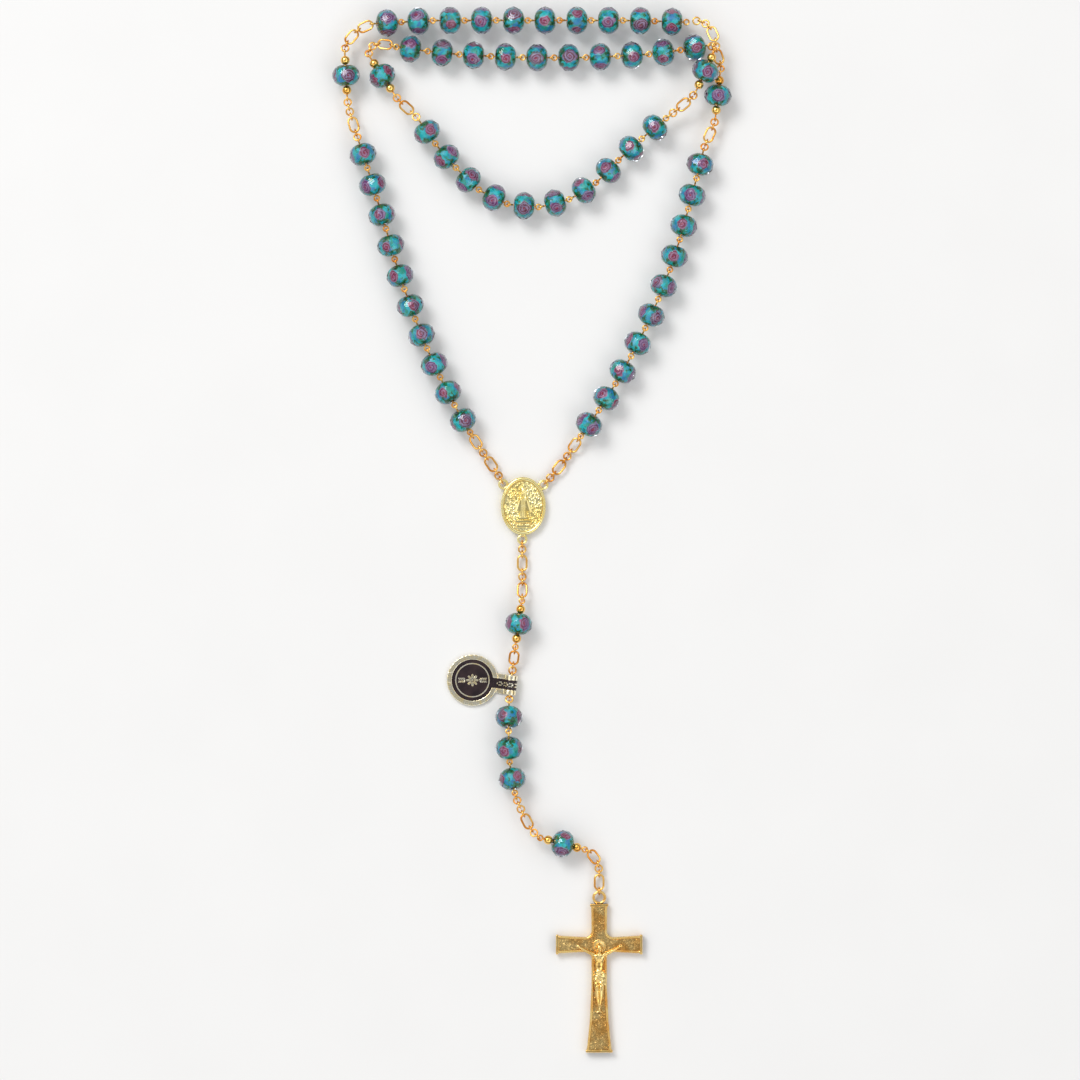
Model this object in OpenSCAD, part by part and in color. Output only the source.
// A five-decade rosary, laid out flat: medal, pendant strand, crucifix and a loop of beads on eye pins.

/* [Beads] */
// Widest diameter of a faceted glass bead
bead_d = 8; // [6:0.1:12]
// Length of a bead along its hole
bead_len = 5.8; // [4:0.1:9]
// Diameter of the hole through a bead
bore_d = 1.8; // [1:0.1:2.5]
// Facets round a bead
facets = 10; // [8:1:14]
// Diameter of the gold balls beside each larger-spaced bead
ball_d = 2.6; // [2:0.1:4]

/* [Wire] */
// Radius of the wire of the eye pins and small links
wire_r = 0.25; // [0.2:0.01:0.4]
// Radius of an eye pin's loop, to the middle of its wire
eye_r = 0.72; // [0.6:0.01:1.2]
// Radius of a small round link, to the middle of its wire
small_r = 1; // [0.7:0.01:1.5]
// Radius of the wire of the long oval links
oval_wire_r = 0.3; // [0.2:0.01:0.4]
// Length of an oval link, between the middles of its end wires
oval_len = 4.3; // [3:0.1:6]
// Width of an oval link, between the middles of its side wires
oval_w = 2.5; // [1.8:0.1:3.5]
// Gap left between two wires that hang in each other
link_gap = 0.09; // [0.05:0.01:0.15]

/* [Medal] */
// Width of the medal
medal_w = 12.8; // [9:0.1:18]
// Height of the medal
medal_h = 16.6; // [12:0.1:24]
// Height of the medal's raised rim
medal_t = 2; // [1.2:0.1:3]

/* [Crucifix] */
// Height of the cross without its eyelet
cross_h = 42.4; // [30:0.1:60]
// Width of the cross over its arms
cross_w = 24.7; // [18:0.1:36]
// Thickness of the cross at its rim
cross_t = 2.2; // [1.5:0.1:3.5]

/* [Tag] */
// Diameter of the round foil tag
tag_d = 14.6; // [10:0.1:20]
// Thickness of the tag
tag_t = 0.8; // [0.4:0.1:1.5]
// Width of the strap that is rolled round the chain
strap_w = 5.6; // [4:0.1:8]

/* [Hidden] */
round_fn = 48;
gold = [0.86, 0.66, 0.3];
glass = [0.05, 0.66, 0.78];
black = [0.07, 0.06, 0.07];

SMALL = 0;
OVAL = 1;
BEAD = 2;
FATHER = 3;

bead_r = bead_d / 2;
ball_r = ball_d / 2;
// the bead, its two balls and the play beside them
bead_play = 0.23;
pin_len = bead_len + 2 * (bead_play + eye_r + wire_r) + 2 * eye_r;
ball_seat = bead_len / 2 + ball_r + 0.06;
father_len = 2 * (ball_seat + ball_r + 0.1 + wire_r + 2 * eye_r);
shank_r = wire_r - 0.03;
spans = [2 * small_r, oval_len, pin_len, father_len];

// heights of the strand above the table
bead_z = bead_r + 0.05;
eyelet_z = 1.3;

// A frame is [start, azimuth, pitch, kind, end, roll at start, roll at end].
function aim(a, p) = [cos(p) * cos(a), cos(p) * sin(a), sin(p)];
function unit(v) = v / norm(v);
function wire_of(k) = k == OVAL ? oval_wire_r : wire_r;
function settled(z, k) = asin(max(-0.45, min(0.45, (bead_z - z) / (spans[k] / 2))));
function track(list, t) =
    let (x = t * (len(list) - 1), i = min(floor(x), len(list) - 2))
    len(list) == 1 ? list[0] : list[i] + (list[i + 1] - list[i]) * (x - i);
function put(f, k, a, p, other_r) =
    let (reach = other_r + wire_of(k) + link_gap)
    let (pitch = is_undef(p) ? settled(f[4].z - 0.6 * reach * sin(f[2]), k) : p)
    let (u = aim(a, pitch), both = aim(f[1], f[2]) + u, slack = 4 / (both * both))
    let (s = f[4] - reach * slack * unit(both), roll = (f[6] + 90) % 180)
    [s, a, pitch, k, s + spans[k] * u, roll, k == BEAD ? (roll + 90) % 180 : roll];
function follow(f, kinds, az, pitches, other_r = wire_r, i = 0) =
    i == len(kinds) ? [] :
    let (t = len(kinds) == 1 ? 0 : i / (len(kinds) - 1))
    let (p = len(pitches) == 0 ? undef : track(pitches, t))
    let (g = put(f, kinds[i], track(az, t), p, other_r))
    concat([g], follow(g, kinds, az, pitches, wire_of(kinds[i]), i + 1));
function last(list) = list[len(list) - 1];
function eyelet(p, a) = [p, a, 0, SMALL, p, 0, 0];

// the medal's place and its three eyelets
medal_at = [-2.4, 7, 0];
ear_r = 1.15;
ear_wire_r = 0.39;
left_ear = [-8.1, 13.2, eyelet_z];
right_ear = [3.4, 13, eyelet_z];
low_ear = [-2.7, -2.5, eyelet_z];
left_az = 118;
right_az = 52;
low_az = -90;

// link orders of the chains
medal_kinds = [SMALL, SMALL, SMALL, OVAL, SMALL, SMALL, SMALL, OVAL, SMALL];
short_kinds = [SMALL, SMALL, OVAL, SMALL, SMALL];
long_kinds = [SMALL, SMALL, OVAL, SMALL, SMALL, SMALL, SMALL];
turn_kinds = [SMALL, OVAL, SMALL, SMALL, SMALL, SMALL];
rise_kinds = [SMALL, SMALL, SMALL, OVAL, SMALL, SMALL];
back_kinds = [SMALL, SMALL, OVAL, SMALL, OVAL];
tag_kinds = [SMALL, OVAL, SMALL, SMALL, SMALL, SMALL, SMALL, SMALL, SMALL, SMALL];
hail_kinds = [SMALL, SMALL, SMALL, SMALL, SMALL, OVAL, SMALL, SMALL, SMALL];
cross_kinds = [SMALL, OVAL, SMALL, SMALL, SMALL, OVAL, SMALL];
ten = [for (i = [1:10]) BEAD];
sag = [-22, -8, 8, 22];

// left half of the loop, from the medal
chain_a = follow(eyelet(left_ear + ear_r * aim(left_az, 0), left_az), medal_kinds,
    [118, 124, 126, 120], [0, 0, 0, 0, 40], ear_wire_r);
decade_1 = follow(last(chain_a), ten, [120, 112, 106, 108], []);
chain_b = follow(last(decade_1), long_kinds, [108, 106, 100], sag);
father_a = follow(last(chain_b), [FATHER], [93], []);
chain_c = follow(last(father_a), back_kinds, [78, 66, 50, 36, 24], [-18, -8, 4, 8, 4]);
decade_2 = follow(last(chain_c), ten, [4, 0, 0, 0, -2], []);

// right half of the loop, from the medal
chain_e = follow(eyelet(right_ear + ear_r * aim(right_az, 0), right_az), medal_kinds,
    [46, 50, 58, 55], [0, 0, 0, 0, 40], ear_wire_r);
decade_5 = follow(last(chain_e), ten, [55, 61, 67, 74, 76], []);
chain_f = follow(last(decade_5), short_kinds, [70, 66, 74], sag);
father_d = follow(last(chain_f), [FATHER], [84], []);
chain_g = follow(last(father_d), short_kinds, [86, 98, 120, 152], [-24, -30, -8, 18, 26]);
decade_4 = follow(last(chain_g), ten, [190, 183, 180, 177, 172], []);
chain_h = follow(last(decade_4), turn_kinds, [154, 172, 192, 216, 244, 274], [-22, -18, -4, 8, 16, 22]);
father_b = follow(last(chain_h), [FATHER], [303], []);
chain_i = follow(last(father_b), short_kinds, [310, 318, 312], [-20, -10, 4, 12]);
decade_3 = follow(last(chain_i), ten, [305, 318, 366, 406, 400], []);
chain_j = follow(last(decade_3), rise_kinds, [397, 396, 399, 410], [6, 18, 20, 10]);
father_c = follow(last(chain_j), [FATHER], [425], [0]);
chain_d = follow(last(father_c), long_kinds, [446, 466, 488, 514, 538], [-4, -16, -18, -12, -6]);

// the pendant strand
chain_k = follow(eyelet(low_ear + ear_r * aim(low_az, 0), low_az), medal_kinds,
    [-90, -90, -89, -92], [0, 0, 0, 0, 40], ear_wire_r);
father_e = follow(last(chain_k), [FATHER], [-98], []);
chain_l = follow(last(father_e), tag_kinds, [-98, -97, -97, -97, -97, -97, -97, -97, -95, -92],
    [-28, -29, -14, -2, 0, 0, 0, 4, 16, 26]);
hail_1 = follow(last(chain_l), [BEAD], [-91], []);
hail_2 = follow(last(hail_1), [BEAD], [-88], []);
hail_3 = follow(last(hail_2), [BEAD], [-80], []);
chain_m = follow(last(hail_3), hail_kinds, [-72, -66, -62, -40], [-22, -16, 0, 14, 22]);
father_f = follow(last(chain_m), [FATHER], [-15], []);
chain_n = follow(last(father_f), cross_kinds, [-30, -76, -90, -90], [-20, -5, 0]);

cross_ear_r = 1.6;
cross_ear_wire_r = 0.4;
cross_hang = cross_ear_r - cross_ear_wire_r - wire_r - link_gap;
cross_ear = [last(chain_n)[4].x, last(chain_n)[4].y - cross_hang, eyelet_z];

module ring(r, wire) {
    rotate_extrude($fn = round_fn)
        translate([r, 0])
            circle(r = wire, $fn = round_fn);
}

module rod(x0, x1, r) {
    translate([x0, 0, 0])
        rotate([0, 90, 0])
            cylinder(h = x1 - x0, r = r, $fn = round_fn);
}

// stands children at the start of a frame, with local x along the strand
module stand(f) {
    translate(f[0])
        rotate([0, -f[2], f[1]])
            children();
}

module half_ring(r, wire, start) {
    rotate_extrude(angle = 180, start = start, $fn = round_fn)
        translate([r, 0])
            circle(r = wire, $fn = round_fn);
}

module oval_link() {
    side = oval_w / 2;
    translate([side, 0, 0])
        half_ring(side, oval_wire_r, 90);
    translate([oval_len - side, 0, 0])
        half_ring(side, oval_wire_r, -90);
    for (y = [-side, side])
        translate([0, y, 0])
            rod(side, oval_len - side, oval_wire_r);
}

module link(f) {
    stand(f)
        rotate([f[5], 0, 0]) {
            if (f[3] == OVAL)
                oval_link();
            else
                translate([small_r, 0, 0])
                    ring(small_r, wire_r);
        }
}

module eye_pin(f) {
    span = spans[f[3]];
    stand(f) {
        translate([eye_r, 0, 0])
            rotate([f[5], 0, 0])
                ring(eye_r, wire_r);
        translate([span - eye_r, 0, 0])
            rotate([f[6], 0, 0])
                ring(eye_r, wire_r);
        rod(2 * eye_r, span - 2 * eye_r, shank_r);
    }
}

// Rings of the bead's facet corners, as [height, radius], from hole to hole.
facet_half = [[0, 1], [0.165, 0.951], [0.35, 0.8], [0.445, 0.6], [0.5, 0.42]];
facet_rings = concat([for (i = [4:-1:1]) [-facet_half[i][0], facet_half[i][1]]], facet_half);

function corner(ring, i) =
    let (turn = 360 / facets * (i + (ring % 2) / 2))
    [facet_rings[ring][0] * bead_len, facet_rings[ring][1] * bead_r * cos(turn),
        facet_rings[ring][1] * bead_r * sin(turn)];
function slot(ring, i) = ring * facets + i % facets;

module faceted_bead() {
    count = len(facet_rings);
    corners = [for (ring = [0:count - 1]) for (i = [0:facets - 1]) corner(ring, i)];
    up = [for (ring = [0:count - 2]) for (i = [0:facets - 1])
        [slot(ring, i), slot(ring + 1, i + ring % 2), slot(ring, i + 1)]];
    down = [for (ring = [0:count - 2]) for (i = [0:facets - 1])
        [slot(ring + 1, i), slot(ring + 1, i + 1), slot(ring, i + 1 - ring % 2)]];
    low_cap = [[for (i = [0:facets - 1]) slot(0, i)]];
    high_cap = [[for (i = [facets - 1:-1:0]) slot(count - 1, i)]];
    difference() {
        polyhedron(corners, concat(up, down, low_cap, high_cap), convexity = 2);
        rod(-bead_len, bead_len, bore_d / 2);
    }
}

// how much further than its pin a loose bead leans
lean = 0.8;
golden_turn = 137;

module bead(f, i) {
    stand(f)
        translate([spans[f[3]] / 2, 0, 0])
            rotate([0, -lean * f[2], 0])
                rotate([i * golden_turn, 0, 0])
                    faceted_bead();
}

module drilled_ball() {
    hole_r = wire_r + 0.1;
    rotate([0, 90, 0])
        rotate_extrude($fn = round_fn)
            intersection() {
                circle(r = ball_r, $fn = round_fn);
                translate([hole_r, -ball_r])
                    square(2 * ball_r);
            }
}

module balls(f) {
    stand(f)
        for (side = [-1, 1])
            translate([spans[FATHER] / 2 + side * ball_seat, 0, 0])
                drilled_ball();
}

module chain(frames) {
    color(gold)
        for (f = frames)
            link(f);
}

module pins(frames) {
    color(gold)
        for (f = frames)
            eye_pin(f);
}

module beads(frames, first) {
    color(glass)
        for (i = [0:len(frames) - 1])
            bead(frames[i], first + i);
}

// first and last five units of a long strand, so that it can bend halfway
function low_half(list) = [for (i = [0:4]) list[i]];
function high_half(list) = [for (i = [5:9]) list[i]];

medal_plate_t = 1.3;
medal_rim = 1;
edge = 0.3;

module ears() {
    for (p = [left_ear, right_ear, low_ear])
        translate(p)
            ring(ear_r, ear_wire_r);
}

// one half-round figure lying along y, kept to a shallow relief
module relief_cone(y0, y1, r0, r1, sink) {
    translate([0, y0, -sink])
        rotate([-90, 0, 0])
            cylinder(h = y1 - y0, r1 = r0, r2 = r1, $fn = round_fn);
}

module medal_figure() {
    relief_h = 0.75;
    intersection() {
        translate([-4, -6, -0.2])
            cube([8, 12, relief_h + 0.2]);
        union() {
            relief_cone(-3, 3.4, 4.4, 1.6, 1.1);
            relief_cone(-3, 2.6, 2.1, 1, 0.6);
            translate([0, 4.1, 0])
                sphere(r = 0.95, $fn = round_fn);
            translate([0, 4.1, -0.2])
                cylinder(h = 0.45, r = 1.45, $fn = round_fn);
            translate([-2.6, -4.1, -0.2])
                cube([5.2, 1.2, 0.8]);
            translate([-3.3, -5, -0.2])
                cube([6.6, 0.95, 0.65]);
        }
    }
}

module medal() {
    half = medal_h / 2;
    color(gold) {
        translate(medal_at)
            scale([medal_w / medal_h, 1, 1])
                rotate_extrude($fn = 2 * round_fn)
                    polygon([[0, 0], [half - edge, 0], [half, edge], [half, medal_t - edge],
                        [half - edge, medal_t], [half - medal_rim + edge, medal_t],
                        [half - medal_rim, medal_plate_t], [0, medal_plate_t]]);
        translate(medal_at + [0, 0, medal_plate_t])
            medal_figure();
        ears();
    }
}

// the cross: its crossing is the local origin, the eyelet is above it
crossing_y = 13.4;
beam_half = 2.2;
arm_half = 2.1;
arm_end_half = 2.55;
foot_half = 3.6;
fillet = 1.8;
top_y = 11.6;
cross_rim = 0.75;
panel_depth = 0.5;
seat_gap = 0.02;
cap = 0.75;
cap_proud = 0.15;
bend_steps = 6;

function bend(cx, cy, r, a0, a1) = [for (i = [0:bend_steps])
    let (a = a0 + (a1 - a0) * i / bend_steps)
    [cx + r * cos(a), cy + r * sin(a)]];
function flank(e) =
    let (reach = cross_w / 2 - e, c = beam_half + fillet, d = arm_half + fillet)
    concat([[beam_half + 0.1 - e, top_y - e]],
        bend(c, d, fillet + e, 180, 270),
        [[reach, arm_end_half - e], [reach, e - arm_end_half]],
        bend(c, -d, fillet + e, 90, 180),
        [[beam_half - e, -12], [beam_half + 0.5 - e, -22], [foot_half - e, top_y - cross_h + e]]);
function other_side(points) = [for (i = [len(points) - 1:-1:0]) [-points[i].x, points[i].y]];

module outline(e) {
    polygon(concat(flank(e), other_side(flank(e))));
}

module end_cap(x, y, w, h) {
    translate([x - w / 2, y - h / 2, 0])
        cube([w, h, cross_t + cap_proud]);
}

module cross() {
    foot_y = top_y - cross_h;
    color(gold)
        translate(cross_ear - [0, crossing_y, eyelet_z]) {
            difference() {
                linear_extrude(cross_t)
                    outline(0);
                translate([0, 0, cross_t - panel_depth])
                    linear_extrude(cross_t)
                        outline(cross_rim);
            }
            for (side = [-1, 1])
                end_cap(side * (cross_w - cap) / 2, 0, cap, 2 * arm_end_half + 0.5);
            end_cap(0, top_y - cap / 2, 2 * beam_half + 0.8, cap);
            end_cap(0, foot_y + cap / 2, 2 * foot_half + 0.5, cap);
            translate([0, crossing_y, eyelet_z])
                ring(cross_ear_r, cross_ear_wire_r);
        }
}

// a tapered round limb between two points
module limb(p, q, r0, r1) {
    d = q - p;
    translate(p)
        rotate([0, acos(d.z / norm(d)), atan2(d.y, d.x)])
            cylinder(h = norm(d), r1 = r0, r2 = r1, $fn = round_fn);
}

module knob(p, r) {
    translate(p)
        sphere(r = r, $fn = round_fn);
}

module corpus() {
    color(gold)
        translate(cross_ear - [0, crossing_y, eyelet_z - cross_t + panel_depth])
            intersection() {
                union() {
                    linear_extrude(panel_depth)
                        outline(cross_rim + seat_gap);
                    translate([-10, -24, panel_depth])
                        cube([20, 30, 6]);
                }
                union() {
                    knob([0, -0.5, 1.3], 1.2);
                    limb([0, -3, 0.7], [0, -1, 1.1], 0.62, 0.55);
                    limb([0, -3, 0.4], [0, -8.8, 0.5], 1.75, 1.15);
                    limb([0, -8.3, 0.45], [0, -11.8, 0.35], 1.4, 1.6);
                    for (side = [-1, 1]) {
                        knob([side * 1.6, -3.3, 0.6], 0.75);
                        limb([side * 1.6, -3.3, 0.6], [side * 3.9, -1.7, 0.5], 0.68, 0.55);
                        knob([side * 3.9, -1.7, 0.5], 0.58);
                        limb([side * 3.9, -1.7, 0.5], [side * 6.1, -0.5, 0.35], 0.52, 0.38);
                        knob([side * 6.3, -0.4, 0.3], 0.5);
                        limb([side * 0.75, -11.2, 0.5], [side * 0.7, -14.9, 0.95], 0.9, 0.66);
                        knob([side * 0.7, -14.9, 0.95], 0.7);
                        limb([side * 0.7, -14.9, 0.95], [side * 0.4, -18.6, 0.5], 0.63, 0.42);
                    }
                    knob([0, -19, 0.45], 0.75);
                }
            }
}

// the foil tag: a rolled tube round the chain, a neck and a rimmed disc
foil = 0.3;
tube_r = 1.8;
tag_arm = 11;
tag_rim = 1.4;
face_t = 0.25;
tag_base_t = 0.45;
tag_seat = chain_l[6];
tag_mid = (tag_seat[0] + tag_seat[4]) / 2;
tag_z = tube_r + 0.1;

module tag_place() {
    translate([tag_mid.x, tag_mid.y, 0])
        rotate([0, 0, tag_seat[1] + 90])
            children();
}

module tag_strap() {
    color(gold)
        tag_place() {
            difference() {
                union() {
                    translate([0, strap_w / 2, tag_z])
                        rotate([90, 0, 0])
                            cylinder(h = strap_w, r = tube_r, $fn = round_fn);
                    translate([-tag_arm, -strap_w / 2, tag_z - tube_r + 0.04])
                        cube([tag_arm, strap_w, foil]);
                }
                translate([0, strap_w, tag_z])
                    rotate([90, 0, 0])
                        cylinder(h = 2 * strap_w, r = tube_r - foil, $fn = round_fn);
            }
            translate([-tag_arm, 0, 0])
                difference() {
                    cylinder(h = tag_t, d = tag_d, $fn = 2 * round_fn);
                    translate([0, 0, tag_base_t])
                        cylinder(h = tag_t, r = tag_d / 2 - tag_rim, $fn = 2 * round_fn);
                }
        }
}

module tag_face() {
    color(black)
        tag_place()
            translate([-tag_arm, 0, tag_base_t])
                cylinder(h = face_t, r = tag_d / 2 - tag_rim - 0.05, $fn = 2 * round_fn);
}

module gold_balls(frames) {
    color(gold)
        for (f = frames)
            balls(f);
}

medal();
chain(chain_a);
beads(low_half(decade_1), 0);  // decade_1_low_beads
pins(low_half(decade_1));  // decade_1_low_pins
beads(high_half(decade_1), 5);  // decade_1_high_beads
pins(high_half(decade_1));  // decade_1_high_pins
chain(chain_b);
beads(father_a, 60);  // father_a_bead
gold_balls(father_a);  // father_a_balls
pins(father_a);  // father_a_pin
chain(chain_c);
beads(decade_2, 10);  // decade_2_beads
pins(decade_2);  // decade_2_pins
chain(chain_d);
chain(chain_e);
beads(low_half(decade_5), 40);  // decade_5_low_beads
pins(low_half(decade_5));  // decade_5_low_pins
beads(high_half(decade_5), 45);  // decade_5_high_beads
pins(high_half(decade_5));  // decade_5_high_pins
chain(chain_f);
beads(father_d, 63);  // father_d_bead
gold_balls(father_d);  // father_d_balls
pins(father_d);  // father_d_pin
chain(chain_g);
beads(decade_4, 30);  // decade_4_beads
pins(decade_4);  // decade_4_pins
chain(chain_h);
beads(father_b, 61);  // father_b_bead
gold_balls(father_b);  // father_b_balls
pins(father_b);  // father_b_pin
chain(chain_i);
beads(decade_3, 20);  // decade_3_beads
pins(decade_3);  // decade_3_pins
chain(chain_j);
beads(father_c, 62);  // father_c_bead
gold_balls(father_c);  // father_c_balls
pins(father_c);  // father_c_pin
chain(chain_k);
beads(father_e, 64);  // father_e_bead
gold_balls(father_e);  // father_e_balls
pins(father_e);  // father_e_pin
chain(chain_l);
tag_strap();
tag_face();
beads(hail_1, 66);  // hail_1_bead
pins(hail_1);  // hail_1_pin
beads(hail_2, 67);  // hail_2_bead
pins(hail_2);  // hail_2_pin
beads(hail_3, 68);  // hail_3_bead
pins(hail_3);  // hail_3_pin
chain(chain_m);
beads(father_f, 69);  // father_f_bead
gold_balls(father_f);  // father_f_balls
pins(father_f);  // father_f_pin
chain(chain_n);
cross();
corpus();
